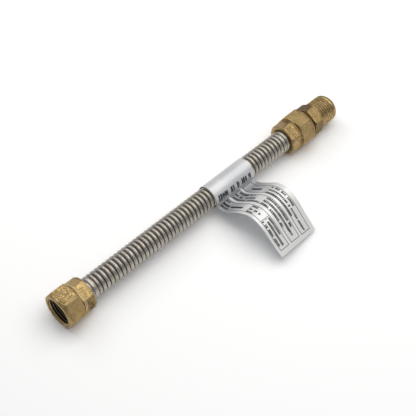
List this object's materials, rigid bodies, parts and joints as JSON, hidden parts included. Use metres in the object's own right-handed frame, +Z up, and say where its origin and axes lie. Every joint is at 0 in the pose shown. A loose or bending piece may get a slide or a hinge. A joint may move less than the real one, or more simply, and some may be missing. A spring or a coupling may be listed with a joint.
{
  "type": "pigtail hose",
  "caption": "Short corrugated stainless steel gas pigtail hose with swivelling brass flare nuts, a male flare union screwed into the outlet nut and a foil label wrapped round the middle.",
  "frame": {"origin": "on the floor under the middle of the whole hose's box, as it lies on its nuts' bottom flats", "axes": "+X along the hose from the inlet nut to the outlet union, +Z up, the label's tongue reaches out along -Y"},
  "size_m": [0.3042, 0.0966, 0.0291],
  "materials": {
    "brass": "as forged and machined",
    "stainless_steel": "bright rolled",
    "foil_label": "silver, satin"
  },
  "bodies": {
    "hose": {"corrugated_hose": "stainless_steel", "outlet_flare_nut": "brass", "flare_union": "brass", "wrapped_tag": "foil_label"},
    "inlet_nut": {"inlet_flare_nut": "brass"}
  },
  "joints": [
    {"name": "inlet_nut_swivel", "type": "hinge", "parent": "hose", "child": "inlet_nut", "pos_m": [-0.1389, 0.0318, 0.01429], "axis": [1, 0, 0], "continuous": true}
  ]
}
